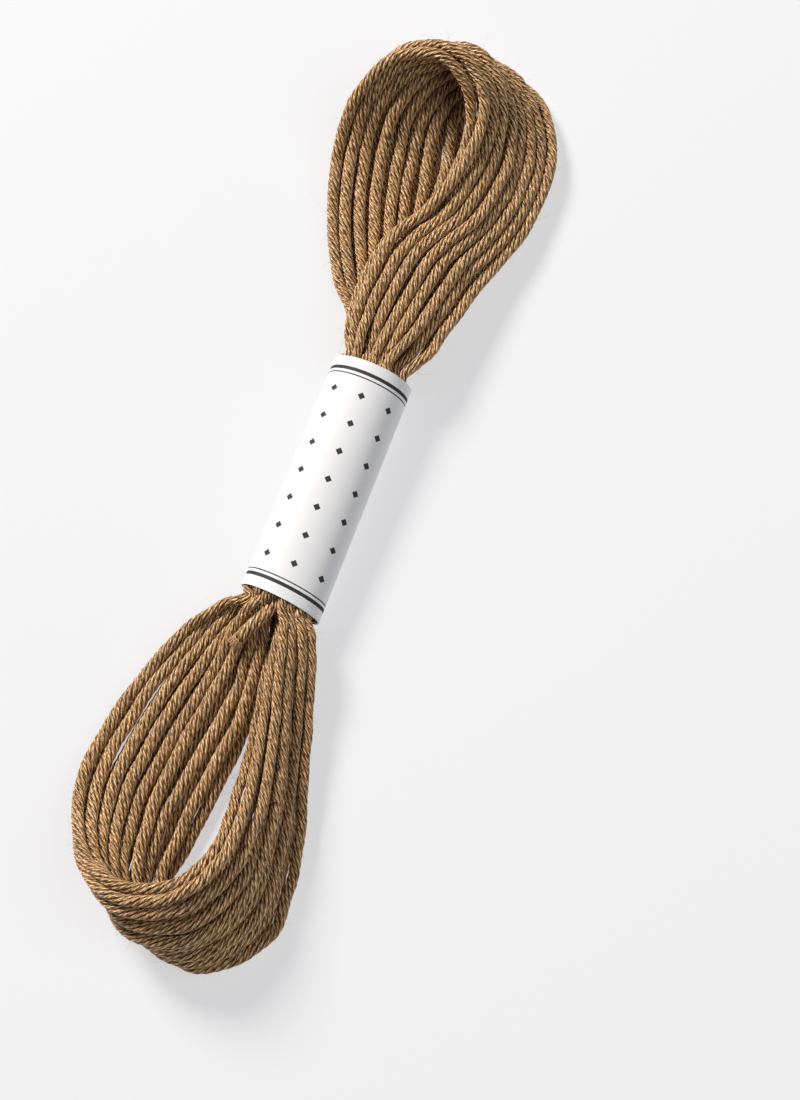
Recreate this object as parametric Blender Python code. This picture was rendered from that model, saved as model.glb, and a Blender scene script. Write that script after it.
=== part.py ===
"""A skein of embroidery floss, lying on a table: wound yarn, a paper band round its waist and one loose end.

The yarn is one thread wound in 16 turns, 8 side by side in two layers, so that the hank is a ribbon two yarns
thick that runs round in a long closed loop. The band pinches the loop in the middle. On each side of it the
ribbon opens into an eye: it leaves the band flat, stands up on its edge round the far end, and comes back flat,
over or beside its own start. The frame has +Y along the band towards the upper loop and +Z up, with the origin
under the middle of the skein. Lengths are in millimetres until the meshes are made.
"""

import math
from collections import namedtuple

import bmesh
import bpy
import numpy as np

MM = 0.001

# The yarn and the ribbon that its turns make
COLUMNS = 8  # turns side by side in one layer
LAYERS = 3.8  # thickness of two nested layers
RIDGE = (0.27, 0.73)  # where a turn's ridge starts and ends, as shares of its own width
GROOVE_SHARE = 0.24  # depth of the groove between two turns, in turn widths
GROOVE_MOST = 0.5
EDGE_SHARE = 0.45  # height of the ribbon's blunt edge, in half thicknesses
EDGE_GROOVE = 0.3  # groove between the two layers, seen on the ribbon's edge
STEPS = 3  # sections from one station to the next

# The band: a paper sleeve, tall at its upper edge and a little wider and lower at the other
BAND_X = 1.75
BAND_LOW = -20.7
BAND_HIGH = 17.8
BAND_WALL = 1.0
BAND_SINK = 0.3  # how far the sleeve is pressed flat where it stands on the table
BAND_POINTS = 40
BAND_SECTIONS = 7
BAND_HALF_WIDTH = (6.4, 6.35)  # at the lower and the upper edge
BAND_HALF_HEIGHT = (4.0, 4.8)
BAND_SKEW = (-0.12, -0.06)  # how far an end runs along for each millimetre across, as the strip is glued askew

GAP = 0.3  # kept between two solids that touch
FACET_ANGLE = math.radians(50)  # edges sharper than this are shaded as edges

Station = namedtuple("Station", "place first last bow thick square")

# The ribbon's two edges (outside of the first and of the last turn) at places along the loop, with how far its
# middle bows out, its thickness, and how square its section is (2 is an ellipse).
STATIONS = [
    #       place                first edge           last edge        bow thick square
    Station("band, upper edge", (-2.7, 18.3, 5.5), (6.1, 17.7, 5.5), 0.9, 2.6, 2.6),
    Station("over leg, low", (-5.2, 26.8, 6.3), (9.8, 25.7, 5.0), 0.9, 3.7, 3.5),
    Station("over leg, middle", (-4.7, 38.3, 6.4), (12.6, 38.7, 3.2), 1.2, LAYERS, 5),
    Station("over leg, high", (-0.2, 45.3, 6.6), (15.6, 50.3, 1.6), 0.9, LAYERS, 6),
    Station("over flank", (1.8, 53.8, 7.5), (15.4, 62.3, 1.2), 0.2, LAYERS, 6),
    Station("right shoulder", (1.3, 61.8, 10.0), (11.2, 69.6, 0.9), 0.3, LAYERS, 6),
    Station("right of the tip", (-1.2, 65.8, 12.5), (5.8, 73.0, 0.5), 1.2, LAYERS, 6),
    Station("upper tip", (-6.2, 67.8, 14.5), (2.3, 72.8, 0.2), 1.8, LAYERS, 6),
    Station("left of the tip", (-13.3, 66.1, 13.0), (0.8, 69.6, 0.3), 1.2, LAYERS, 6),
    Station("left shoulder", (-17.9, 59.3, 8.5), (0.0, 63.3, 1.1), 0.2, LAYERS, 6),
    Station("under flank", (-18.2, 52.8, 4.0), (0.6, 57.3, 1.5), 0.0, LAYERS, 6),
    Station("under leg, high", (-15.7, 43.8, 1.9), (2.3, 47.8, 1.8), 0.0, LAYERS, 6),
    Station("under leg, middle", (-10.7, 32.8, 1.9), (5.3, 35.3, 1.9), 0.0, LAYERS, 5),
    Station("under leg, low", (-5.5, 25.3, 2.2), (5.8, 25.8, 2.0), 0.0, 3.1, 3.5),
    Station("band, upper edge", (-2.7, 18.3, 3.8), (6.1, 17.7, 3.8), 0.9, 2.6, 2.6),
    Station("waist, upper third", (-2.0, 6.3, 5.0), (3.9, 6.3, 2.2), 0.6, 2.4, 2.5),
    Station("waist, lower third", (-1.2, -7.2, 5.4), (1.4, -7.2, 1.8), 0.4, 3.0, 2.4),
    Station("band, lower edge", (-2.5, -20.5, 4.3), (1.0, -20.9, 3.1), 0.3, 3.7, 2.2),
    Station("left leg, top", (-7.0, -23.2, 3.2), (2.2, -26.7, 3.5), 0.3, 4.2, 4),
    Station("left leg", (-11.7, -30.7, 2.1), (3.3, -35.7, 2.3), 0.2, LAYERS, 5),
    Station("left flank", (-15.7, -44.7, 2.0), (3.1, -46.2, 1.8), 0.0, LAYERS, 6),
    Station("left flank, low", (-15.7, -57.2, 4.5), (2.1, -56.2, 1.6), 0.8, LAYERS, 6),
    Station("lower corner", (-10.2, -66.2, 10.5), (1.8, -64.7, 1.0), 1.6, LAYERS, 6),
    Station("left of the low tip", (-3.2, -68.7, 13.5), (4.3, -70.7, 0.1), 2.0, LAYERS, 6),
    Station("lower tip", (4.3, -66.2, 14.5), (10.3, -73.2, 0.4), 1.4, LAYERS, 6),
    Station("right of the low tip", (7.8, -59.7, 12.5), (17.1, -66.9, 0.6), 0.4, LAYERS, 6),
    Station("right flank", (7.8, -51.7, 10.0), (16.8, -55.2, 0.9), 0.0, LAYERS, 6),
    Station("right leg, low", (6.0, -42.7, 7.5), (14.2, -43.2, 1.2), 0.0, LAYERS, 5),
    Station("right leg", (4.0, -33.7, 6.0), (11.2, -33.2, 2.4), 0.2, LAYERS, 4),
    Station("right leg, top", (2.7, -25.7, 4.9), (8.8, -25.7, 3.5), 0.2, 4.2, 3.5),
    Station("band, lower edge", (2.2, -21.0, 4.4), (5.7, -21.5, 3.2), 0.1, 3.7, 2.2),
    Station("waist, lower third", (1.8, -7.2, 6.3), (4.4, -7.2, 2.6), 0.4, 3.0, 2.4),
    Station("waist, upper third", (-0.7, 6.3, 6.2), (5.1, 6.3, 3.6), 0.6, 2.4, 2.5),
]

# The loose end's route: out of the band over its lower edge and down along the left leg
END_DIAMETER = 2.0
END_ROUTE = [
    (2.2, 1.3, 4.7),
    (2.1, -5.7, 5.0),
    (1.9, -12.2, 5.2),
    (1.7, -17.7, 5.2),
    (1.4, -20.9, 5.3),
    (0.5, -23.5, 5.8),
    (-0.7, -26.1, 5.9),
    (-1.9, -28.7, 5.5),
]
END_STEPS = 3  # points from one of these to the next
END_ROUNDNESS = 2  # Blender's bevel resolution, here eight sides

PAPER_WHITE = (0.80, 0.80, 0.79)
PAPER_ROUGHNESS = 0.7
YARN_TAN = (0.36, 0.21, 0.10)
YARN_ROUGHNESS = 0.6
CUT_TAN = (0.45, 0.28, 0.15)


def clear_scene():
    """Removes every object that the scene starts with."""
    for item in list(bpy.data.objects):
        bpy.data.objects.remove(item, do_unlink=True)


def material(name, colour, roughness):
    """A Principled material of one colour."""
    made = bpy.data.materials.new(name)
    made.use_nodes = True
    shader = made.node_tree.nodes["Principled BSDF"]
    shader.inputs["Base Color"].default_value = (*colour, 1.0)
    shader.inputs["Roughness"].default_value = roughness
    shader.inputs["Metallic"].default_value = 0.0
    return made


def place(name, mesh, look):
    """Links a mesh as a named object with its material, round faces shaded smooth."""
    mesh.materials.append(look)
    mesh.shade_smooth()
    mesh.set_sharp_from_angle(angle=FACET_ANGLE)
    made = bpy.data.objects.new(name, mesh)
    bpy.context.scene.collection.objects.link(made)
    return made


def through(rows, steps, closed=True):
    """Rows of numbers read from a smooth curve (centripetal Catmull-Rom) through the given rows.

    The first three numbers of a row are the point that sets the spacing.
    """
    rows = np.array(rows, dtype=float)
    if not closed:
        rows = np.vstack([2 * rows[0] - rows[1], rows, 2 * rows[-1] - rows[-2]])
    ahead = np.roll(rows, -1, axis=0)
    chord = np.linalg.norm((ahead - rows)[:, :3], axis=1)
    knot = np.sqrt(chord * chord.mean())[:, None]
    slope = (ahead - rows) / knot
    back_knot = np.roll(knot, 1, axis=0)
    back_slope = np.roll(slope, 1, axis=0)
    tangent = (back_slope * knot + slope * back_knot) / (knot + back_knot)
    spans = range(len(rows)) if closed else range(1, len(rows) - 2)
    curve = []
    for i in spans:
        j = (i + 1) % len(rows)
        for step in range(steps):
            t = step / steps
            curve.append(
                (2 * t**3 - 3 * t**2 + 1) * rows[i]
                + (t**3 - 2 * t**2 + t) * knot[i] * tangent[i]
                + (3 * t**2 - 2 * t**3) * rows[j]
                + (t**3 - t**2) * knot[i] * tangent[j]
            )
    if not closed:
        curve.append(rows[-2])
    return np.array(curve)


def lap():
    """One lap round the ribbon's section: (share across, side, ridge) for each point.

    The side is 1 on the outer face, -1 on the inner one and 0 in the groove on an edge; the ridge is 1 on a
    turn, 0 in the groove between two turns, and None on the ribbon's blunt edge.
    """
    face = []
    for column in range(COLUMNS):
        face += [((column + share) / COLUMNS, 1.0) for share in RIDGE]
        face.append(((column + 1) / COLUMNS, 0.0))
    face.pop()
    points = [(0.0, 0, None), (0.0, 1, None)]
    points += [(share, 1, ridge) for share, ridge in face]
    points += [(1.0, 1, None), (1.0, 0, None), (1.0, -1, None)]
    points += [(share, -1, ridge) for share, ridge in reversed(face)]
    points.append((0.0, -1, None))
    return points


def section(first, last, along, bow, thick, square, points):
    """The ribbon's outline between its two edges, as points in space."""
    across = last - first
    width = np.linalg.norm(across)
    out = np.cross(across, along)
    out /= np.linalg.norm(out)
    groove = min(GROOVE_SHARE * width / COLUMNS, GROOVE_MOST)
    ring = []
    for share, side, ridge in points:
        if ridge is None:
            height = side * EDGE_SHARE * thick / 2
            inset = 0.0 if side else EDGE_GROOVE / width
            share = share + inset if share < 0.5 else share - inset
        else:
            body = (1 - abs(2 * share - 1) ** square) ** (1 / square)
            height = side * (body * thick / 2 - groove * (1 - ridge))
        arch = bow * (1 - (2 * share - 1) ** 2)
        ring.append(first + across * share + out * (arch + height))
    return ring


def hank_rings():
    """The sections all the way round, resting on the table."""
    rows = []
    for station in STATIONS:
        first, last = np.array(station.first), np.array(station.last)
        rows.append([*(first + last) / 2, *first, *last, station.bow, station.thick, station.square])
    rows = through(rows, STEPS)
    middle = rows[:, :3]
    along = np.roll(middle, -1, axis=0) - np.roll(middle, 1, axis=0)
    points = lap()
    rings = []
    for row, direction in zip(rows, along):
        ring = section(row[3:6], row[6:9], direction, row[9], row[10], row[11], points)
        rings.append([(x, y, max(z, 0.0)) for x, y, z in ring])
    return rings


def loft(name, rings):
    """A closed ring of sections as one closed mesh, its faces pointing out."""
    bm = bmesh.new()
    rows = [[bm.verts.new(np.array(point) * MM) for point in ring] for ring in rings]
    for here, ahead in zip(rows, rows[1:] + rows[:1]):
        count = len(here)
        for i in range(count):
            j = (i + 1) % count
            bm.faces.new((here[i], here[j], ahead[j], ahead[i]))
    bmesh.ops.recalc_face_normals(bm, faces=bm.faces)
    mesh = bpy.data.meshes.new(name)
    bm.to_mesh(mesh)
    bm.free()
    return mesh


def band_ring(share, wall):
    """The sleeve's oval at a share of its length, at this depth under its outside."""
    half_width = np.interp(share, (0, 1), BAND_HALF_WIDTH) - wall
    half_height = np.interp(share, (0, 1), BAND_HALF_HEIGHT)
    skew = np.interp(share, (0, 1), BAND_SKEW)
    centre = half_height - BAND_SINK
    y = BAND_LOW + share * (BAND_HIGH - BAND_LOW)
    ring = []
    for i in range(BAND_POINTS):
        turn = 2 * math.pi * i / BAND_POINTS
        x = half_width * math.cos(turn)
        z = centre + (half_height - wall) * math.sin(turn)
        ring.append((BAND_X + x, y + skew * x, max(z, wall)))
    return ring


def band_rings():
    """Up the outside of the sleeve and back down its inside."""
    shares = [i / (BAND_SECTIONS - 1) for i in range(BAND_SECTIONS)]
    outside = [band_ring(share, 0.0) for share in shares]
    inside = [band_ring(share, BAND_WALL) for share in reversed(shares)]
    return outside + inside


def tube(name, route, diameter):
    """A round cord along the route, with flat ends."""
    curve = bpy.data.curves.new(name, "CURVE")
    curve.dimensions = "3D"
    curve.bevel_depth = diameter / 2 * MM
    curve.bevel_resolution = END_ROUNDNESS
    curve.use_fill_caps = True
    spline = curve.splines.new("POLY")
    spline.points.add(len(route) - 1)
    for point, place_at in zip(spline.points, route):
        point.co = (*(np.array(place_at) * MM), 1.0)
    return curve


def end_route():
    """The loose end's centre line."""
    return through(END_ROUTE, END_STEPS, closed=False)


def make_hank(look):
    """The wound yarn, with the bed that the loose end has pressed into it."""
    hank = place("hank", loft("hank", hank_rings()), look)
    round_end = bpy.data.objects.new("bed_curve", tube("bed_curve", end_route(), END_DIAMETER + 2 * GAP))
    bed = bpy.data.objects.new("bed", bpy.data.meshes.new_from_object(round_end))
    bpy.data.objects.remove(round_end)
    bpy.context.scene.collection.objects.link(bed)
    bed.hide_render = True
    bed.display_type = "WIRE"
    cut = hank.modifiers.new("bed of the loose end", "BOOLEAN")
    cut.operation = "DIFFERENCE"
    cut.object = bed
    return hank


def make_band(look):
    """The paper sleeve round the waist."""
    return place("band", loft("band", band_rings()), look)


def make_loose_end(look):
    """The cut end of the thread."""
    curve = tube("loose_end", end_route(), END_DIAMETER)
    curve.materials.append(look)
    made = bpy.data.objects.new("loose_end", curve)
    bpy.context.scene.collection.objects.link(made)
    return made


def main():
    clear_scene()
    make_hank(material("yarn", YARN_TAN, YARN_ROUGHNESS))
    make_band(material("paper", PAPER_WHITE, PAPER_ROUGHNESS))
    make_loose_end(material("cut yarn", CUT_TAN, YARN_ROUGHNESS))


main()
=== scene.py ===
# %% [markdown]
# # A skein of embroidery floss
#
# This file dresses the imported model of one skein: about five metres of plied yarn wound into a long loop,
# pinched in the middle by a paper band, with the cut end of the thread lying over its own turns. The solids
# already say where everything is. What they leave out is made here: the sixteen turns of yarn, the plies
# twisted in each turn, the loose fibres, the thin paper and every surface.

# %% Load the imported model
import math

import bmesh
import bpy
import numpy as np
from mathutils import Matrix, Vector
from mathutils.kdtree import KDTree


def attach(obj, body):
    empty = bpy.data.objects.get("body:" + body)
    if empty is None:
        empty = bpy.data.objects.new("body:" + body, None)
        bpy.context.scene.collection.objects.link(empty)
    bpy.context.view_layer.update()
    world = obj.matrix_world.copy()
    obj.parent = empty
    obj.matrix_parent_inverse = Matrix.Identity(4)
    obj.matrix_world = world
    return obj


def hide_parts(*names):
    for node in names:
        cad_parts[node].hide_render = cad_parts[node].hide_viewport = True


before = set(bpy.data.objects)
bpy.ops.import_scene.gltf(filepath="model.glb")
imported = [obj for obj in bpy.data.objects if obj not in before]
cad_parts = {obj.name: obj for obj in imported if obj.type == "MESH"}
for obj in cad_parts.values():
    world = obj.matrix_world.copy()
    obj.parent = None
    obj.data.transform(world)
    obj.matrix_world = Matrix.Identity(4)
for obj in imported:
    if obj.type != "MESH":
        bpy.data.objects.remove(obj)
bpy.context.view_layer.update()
MM = 0.001  # one millimetre in Blender's metres

# %% [markdown]
# ## Two helpers
#
# Colours are picked as sRGB hex values, as a colour chart gives them, and a renderer adds light in linear
# values, so one function turns the first into the second. Nodes are added by one small function too,
# because a material is easier to read as a list of nodes, each with its settings and what is plugged into
# it.

# %% Colour and node helpers


def linear(hex_colour):
    """An sRGB colour such as "#a07040" as linear red, green, blue and alpha."""
    channels = [int(hex_colour[i:i + 2], 16) / 255 for i in (1, 3, 5)]
    return (*[c / 12.92 if c <= 0.04045 else ((c + 0.055) / 1.055) ** 2.4 for c in channels], 1.0)


def add(tree, kind, settings=None, **inputs):
    """Adds a node. Settings are its properties, and each input is a value or another node's output socket.

    An input is named as in the editor, with _ for a space, or by its number, as in i0, where names repeat.
    """
    node = tree.nodes.new(kind)
    for name, value in (settings or {}).items():
        setattr(node, name, value)
    for name, value in inputs.items():
        by_number = name[0] == "i" and name[1:].isdigit()
        socket = node.inputs[int(name[1:]) if by_number else name.replace("_", " ")]
        if isinstance(value, bpy.types.NodeSocket):
            tree.links.new(value, socket)
        else:
            socket.default_value = value
    return node


print("the grey #808080 in linear light:", round(linear("#808080")[0], 3))

# %% [markdown]
# ## Camera
#
# The photograph was taken from nearly overhead, a little towards the lower loop, with the skein lying
# slantwise. The skein keeps its own straight frame, so it is the camera that is turned: by the skein's
# slant about the vertical, and by its tilt from straight down. Its distance and lens come from how much the
# near end of the skein is enlarged against the far one.

# %% Camera
SLANT = math.radians(20.6)  # how far the skein leans to the right in the picture
TILT = math.radians(18)  # how far the camera looks from straight down
DISTANCE = 352.5 * MM
SENSOR = 24.0  # width of the sensor, mm
NEAREST = 10 * MM  # what is nearer than this isn't drawn
HALF_ANGLE = math.radians(13.17)  # half of what the picture's height takes in
AIM = Vector((14.9, -5.5, 0.0)) * MM  # what lies in the middle of the picture


def from_picture(right, up, height):
    """A point by its place in the picture: millimetres right, up and above the table, from the aim."""
    x = right * math.cos(SLANT) - up * math.sin(SLANT)
    y = right * math.sin(SLANT) + up * math.cos(SLANT)
    return AIM + Vector((x, y, height)) * MM


def make_camera():
    """The photograph's camera."""
    data = bpy.data.cameras.new("camera")
    data.sensor_width = SENSOR
    data.lens = SENSOR / 2 / math.tan(HALF_ANGLE)
    data.clip_start = NEAREST
    camera = bpy.data.objects.new("camera", data)
    away = DISTANCE / MM
    camera.location = from_picture(0, -away * math.sin(TILT), away * math.cos(TILT))
    camera.rotation_euler = (TILT, 0, SLANT)
    bpy.context.scene.collection.objects.link(camera)
    bpy.context.scene.camera = camera
    return camera


camera = make_camera()
print("camera at", [round(x / MM, 1) for x in camera.location], "mm")

# %% [markdown]
# ## The ribbon
#
# A skein is one thread wound round and round, so its turns lie beside each other as a ribbon, eight turns
# wide and two deep. The ribbon could be drawn turn by turn, but sixteen separate curves would never stay
# beside each other. So the ribbon is drawn once, by its two edges at places along the loop, and each turn
# then takes a lane in it. The places are those of the solid.

# %% Stations of the ribbon
# place, outside of the first turn, outside of the last turn, bow of the middle (all in mm)
STATIONS = [
    ("band, upper edge", (-2.7, 18.3, 5.5), (6.1, 17.7, 5.5), 0.9),
    ("over leg, low", (-5.2, 26.8, 6.3), (9.8, 25.7, 5.0), 0.9),
    ("over leg, middle", (-4.7, 38.3, 6.4), (12.6, 38.7, 3.2), 1.2),
    ("over leg, high", (-0.2, 45.3, 6.6), (15.6, 50.3, 1.6), 0.9),
    ("over flank", (1.8, 53.8, 7.5), (15.4, 62.3, 1.2), 0.2),
    ("right shoulder", (1.3, 61.8, 10.0), (11.2, 69.6, 0.9), 0.3),
    ("right of the tip", (-1.2, 65.8, 12.5), (5.8, 73.0, 0.5), 1.2),
    ("upper tip", (-6.2, 67.8, 14.5), (2.3, 72.8, 0.2), 1.8),
    ("left of the tip", (-13.3, 66.1, 13.0), (0.8, 69.6, 0.3), 1.2),
    ("left shoulder", (-17.9, 59.3, 8.5), (0.0, 63.3, 1.1), 0.2),
    ("under flank", (-18.2, 52.8, 4.0), (0.6, 57.3, 1.5), 0.0),
    ("under leg, high", (-15.7, 43.8, 1.9), (2.3, 47.8, 1.8), 0.0),
    ("under leg, middle", (-10.7, 32.8, 1.9), (5.3, 35.3, 1.9), 0.0),
    ("under leg, low", (-5.5, 25.3, 2.2), (5.8, 25.8, 2.0), 0.0),
    ("band, upper edge", (-2.7, 18.3, 3.8), (6.1, 17.7, 3.8), 0.9),
    ("waist, upper third", (-2.0, 6.3, 5.0), (3.9, 6.3, 2.2), 0.6),
    ("waist, lower third", (-1.2, -7.2, 5.4), (1.4, -7.2, 1.8), 0.4),
    ("band, lower edge", (-2.5, -20.5, 4.3), (1.0, -20.9, 3.1), 0.3),
    ("left leg, top", (-7.0, -23.2, 3.2), (2.2, -26.7, 3.5), 0.3),
    ("left leg", (-11.7, -30.7, 2.1), (3.3, -35.7, 2.3), 0.2),
    ("left flank", (-15.7, -44.7, 2.0), (3.1, -46.2, 1.8), 0.0),
    ("left flank, low", (-15.7, -57.2, 4.5), (2.1, -56.2, 1.6), 0.8),
    ("lower corner", (-10.2, -66.2, 10.5), (1.8, -64.7, 1.0), 1.6),
    ("left of the low tip", (-3.2, -68.7, 13.5), (4.3, -70.7, 0.1), 2.0),
    ("lower tip", (4.3, -66.2, 14.5), (10.3, -73.2, 0.4), 1.4),
    ("right of the low tip", (7.8, -59.7, 12.5), (17.1, -66.9, 0.6), 0.4),
    ("right flank", (7.8, -51.7, 10.0), (16.8, -55.2, 0.9), 0.0),
    ("right leg, low", (6.0, -42.7, 7.5), (14.2, -43.2, 1.2), 0.0),
    ("right leg", (4.0, -33.7, 6.0), (11.2, -33.2, 2.4), 0.2),
    ("right leg, top", (2.7, -25.7, 4.9), (8.8, -25.7, 3.5), 0.2),
    ("band, lower edge", (2.2, -21.0, 4.4), (5.7, -21.5, 3.2), 0.1),
    ("waist, lower third", (1.8, -7.2, 6.3), (4.4, -7.2, 2.6), 0.4),
    ("waist, upper third", (-0.7, 6.3, 6.2), (5.1, 6.3, 3.6), 0.6),
]
OVER_PASS = (30, 33)  # stations between which the ribbon runs up through the band
UNDER_PASS = (14, 17)  # and down through it
print("stations:", len(STATIONS))

# %% [markdown]
# ### A curve through rows of numbers
#
# A Catmull-Rom curve passes through each of its points, so a station can be moved without touching the
# others. The centripetal kind minds how far the points are apart, and so it doesn't swing out where they
# stand close. The same function draws the ribbon, the loose end and the fine steps of the thread.

# %% Curve through rows


def through(rows, steps, closed=True):
    """Rows of numbers read from a smooth curve (centripetal Catmull-Rom) through the given rows.

    The first three numbers of a row are the point that sets the spacing.
    """
    rows = np.array(rows, dtype=float)
    if not closed:
        rows = np.vstack([2 * rows[0] - rows[1], rows, 2 * rows[-1] - rows[-2]])
    ahead = np.roll(rows, -1, axis=0)
    chord = np.linalg.norm((ahead - rows)[:, :3], axis=1)
    knot = np.sqrt(chord * chord.mean())[:, None]
    slope = (ahead - rows) / knot
    back_knot = np.roll(knot, 1, axis=0)
    tangent = (np.roll(slope, 1, axis=0) * knot + slope * back_knot) / (knot + back_knot)
    spans = np.arange(len(rows)) if closed else np.arange(1, len(rows) - 2)
    here = np.repeat(spans, steps)
    there = (here + 1) % len(rows)
    t = np.tile(np.arange(steps) / steps, len(spans))[:, None]
    curve = (
        (2 * t**3 - 3 * t**2 + 1) * rows[here]
        + (t**3 - 2 * t**2 + t) * knot[here] * tangent[here]
        + (3 * t**2 - 2 * t**3) * rows[there]
        + (t**3 - t**2) * knot[here] * tangent[there]
    )
    return curve if closed else np.vstack([curve, rows[-2]])


# %% The ribbon round the loop
RIBBON_STEPS = 12  # from one station to the next


def ribbon():
    """The ribbon at close steps round the loop: first edge, last edge, outward direction and bow."""
    rows = []
    for place, first, last, bow in STATIONS:
        first, last = np.array(first), np.array(last)
        rows.append([*(first + last) / 2, *first, *last, bow])
    rows = through(rows, RIBBON_STEPS)
    along = np.roll(rows[:, :3], -1, axis=0) - np.roll(rows[:, :3], 1, axis=0)
    out = np.cross(rows[:, 6:9] - rows[:, 3:6], along)
    out /= np.linalg.norm(out, axis=1)[:, None]
    return rows[:, 3:6], rows[:, 6:9], out, rows[:, 9]


first_edge, last_edge, outward, bow = ribbon()
station = np.arange(len(bow)) / RIBBON_STEPS  # each step's place, counted in stations
widest = np.linalg.norm(first_edge - last_edge, axis=1).max()
print("ribbon:", len(bow), "steps,", round(float(widest), 1), "mm wide at most")

# %% [markdown]
# ## The waist
#
# Inside the band the ribbon can't stay eight turns wide: thirty-two strands share an oval of about 12 by 9
# mm. At the upper edge one pass lies over the other. At the lower edge they stand side by side, and every
# second strand of either is near the paper, the others near the middle. So each strand gets a place at both
# edges, and moves evenly from one to the other between them.

# %% Room inside the band
BAND_X = 1.75  # middle of the band across, mm
BAND_EDGES = (-20.7, 17.8)  # lower and upper, along Y
BAND_SKEW = (-0.12, -0.06)  # how far an end runs along for each millimetre across
BAND_HALF_WIDTH = (6.4, 6.35)
BAND_HALF_HEIGHT = (4.0, 4.8)
BAND_SINK = 0.3  # how far the sleeve is pressed flat on the table
PAPER = 0.2  # thickness of the paper, mm: about twice the real one, so that its cut edge shows


def band_oval(y):
    """Half width, half height and middle height of the room inside the band at this place along it."""
    share = (y - BAND_EDGES[0]) / (BAND_EDGES[1] - BAND_EDGES[0])
    half_width = BAND_HALF_WIDTH[0] + share * (BAND_HALF_WIDTH[1] - BAND_HALF_WIDTH[0])
    half_height = BAND_HALF_HEIGHT[0] + share * (BAND_HALF_HEIGHT[1] - BAND_HALF_HEIGHT[0])
    return half_width - PAPER, half_height - PAPER, half_height - BAND_SINK


def beyond_band(points):
    """How far points are outside the band along Y, in mm, negative inside it. The band's edges run askew."""
    x = np.clip(points[:, 0] - BAND_X, -BAND_HALF_WIDTH[0], BAND_HALF_WIDTH[0])
    low, high = BAND_EDGES[0] + BAND_SKEW[0] * x, BAND_EDGES[1] + BAND_SKEW[1] * x
    return np.maximum(points[:, 1] - high, low - points[:, 1])


for y in BAND_EDGES:
    print("room in the band at y", y, "half width and half height:", [round(x, 2) for x in band_oval(y)[:2]])

# %% [markdown]
# ### Thickness of the yarn
#
# Yarn is soft. It is thinnest where the paper squeezes it, swells again within a centimetre of the band,
# and stays a little thinner wherever its neighbours crowd it.

# %% Radius of the yarn
YARN_RADIUS = 0.96  # mm
SQUEEZED_RADIUS = 0.72  # in the band
SPRING_BACK = 9.0  # how far from the band the yarn is back at the thickness that its neighbours leave it
SWELLING = 0.6  # lower is a yarn that swells sooner outside the band
CROWDED = (0.55, 0.17)  # radius of a strand among close neighbours: its own part, and a share of the lane


def smooth(t):
    """From 0 to 1 with a soft start and end."""
    t = np.clip(t, 0, 1)
    return t * t * (3 - 2 * t)


def radius_at(y, lane_width):
    """The yarn's radius: squeezed in the band and where the lanes are narrow, full away from both."""
    beyond = np.maximum(y - BAND_EDGES[1], BAND_EDGES[0] - y)
    free = np.clip(CROWDED[0] + CROWDED[1] * lane_width, SQUEEZED_RADIUS, YARN_RADIUS)
    return SQUEEZED_RADIUS + (free - SQUEEZED_RADIUS) * smooth(beyond / SPRING_BACK) ** SWELLING


for y in (0.0, 20.0, 24.0, 30.0):
    print("radius in a lane of 2 mm at y", y, "mm:", round(float(radius_at(y, 2.0)), 2))

# %% Places of the strands at the band's edges
COLUMNS = 8  # turns beside each other
LANE_STAGGER = 0.5  # how far across the upper layer lies, in the grooves of the lower one, in lanes
WIDTH_TAKEN = 0.97  # share of the room's width that the strands take at the upper edge
INNER_DEPTH = 0.3  # height of an inner strand over or under the middle, as a share of the room there
OUTER_DEPTH = (0.95, 0.88)  # the same for an outer strand at the lower and at the upper edge


def place_at_edge(upper_edge, over, column, layer):
    """A strand's x and z at an edge of the band. The layer is 1 or -1, and on the over pass 1 is up."""
    half_width, half_height, middle = band_oval(BAND_EDGES[1] if upper_edge else BAND_EDGES[0])
    half_width -= SQUEEZED_RADIUS
    half_height -= SQUEEZED_RADIUS
    up = layer if over else -layer
    if upper_edge:
        share = (column + 0.5 + LANE_STAGGER / 2 * layer) / COLUMNS
        x = (2 * share - 1) * half_width * WIDTH_TAKEN
        side = 1 if over else -1
        depth = OUTER_DEPTH[1] if up == side else INNER_DEPTH
        z = side * depth * half_height * math.sqrt(1 - (x / half_width) ** 2)
    else:
        share = (column + 0.5) / COLUMNS
        x = share * half_width if over else (share - 1) * half_width
        depth = OUTER_DEPTH[0] if column % 2 else INNER_DEPTH
        z = up * depth * half_height * math.sqrt(1 - (x / half_width) ** 2)
    return np.array([BAND_X + x, middle + z])


for edge_name, upper_edge in (("lower", False), ("upper", True)):
    places = [place_at_edge(upper_edge, True, column, 1) for column in (0, COLUMNS - 1)]
    print("first and last strand of the over pass,", edge_name, "edge:", np.round(places, 1).tolist())

# %% [markdown]
# ## Lanes
#
# Each turn follows its lane round the ribbon. Turns are wound from the first lane to the last and back in a
# second layer, and the thread steps to the next lane inside the band, where nobody sees it. Where the
# ribbon is narrower than its yarns, every second lane is raised, so that the strands pile up instead of
# running through each other.
#
# Nobody winds a skein by ruler, so some turns are slack and lie to one side of their lane for a stretch. A
# table names each of those with where it strays and how far.

# %% Turns, and the slack ones
TURNS = [(column, -1) for column in range(COLUMNS)] + [(column, 1) for column in reversed(range(COLUMNS))]
ANY = 9  # stands for each column or both layers

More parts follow.
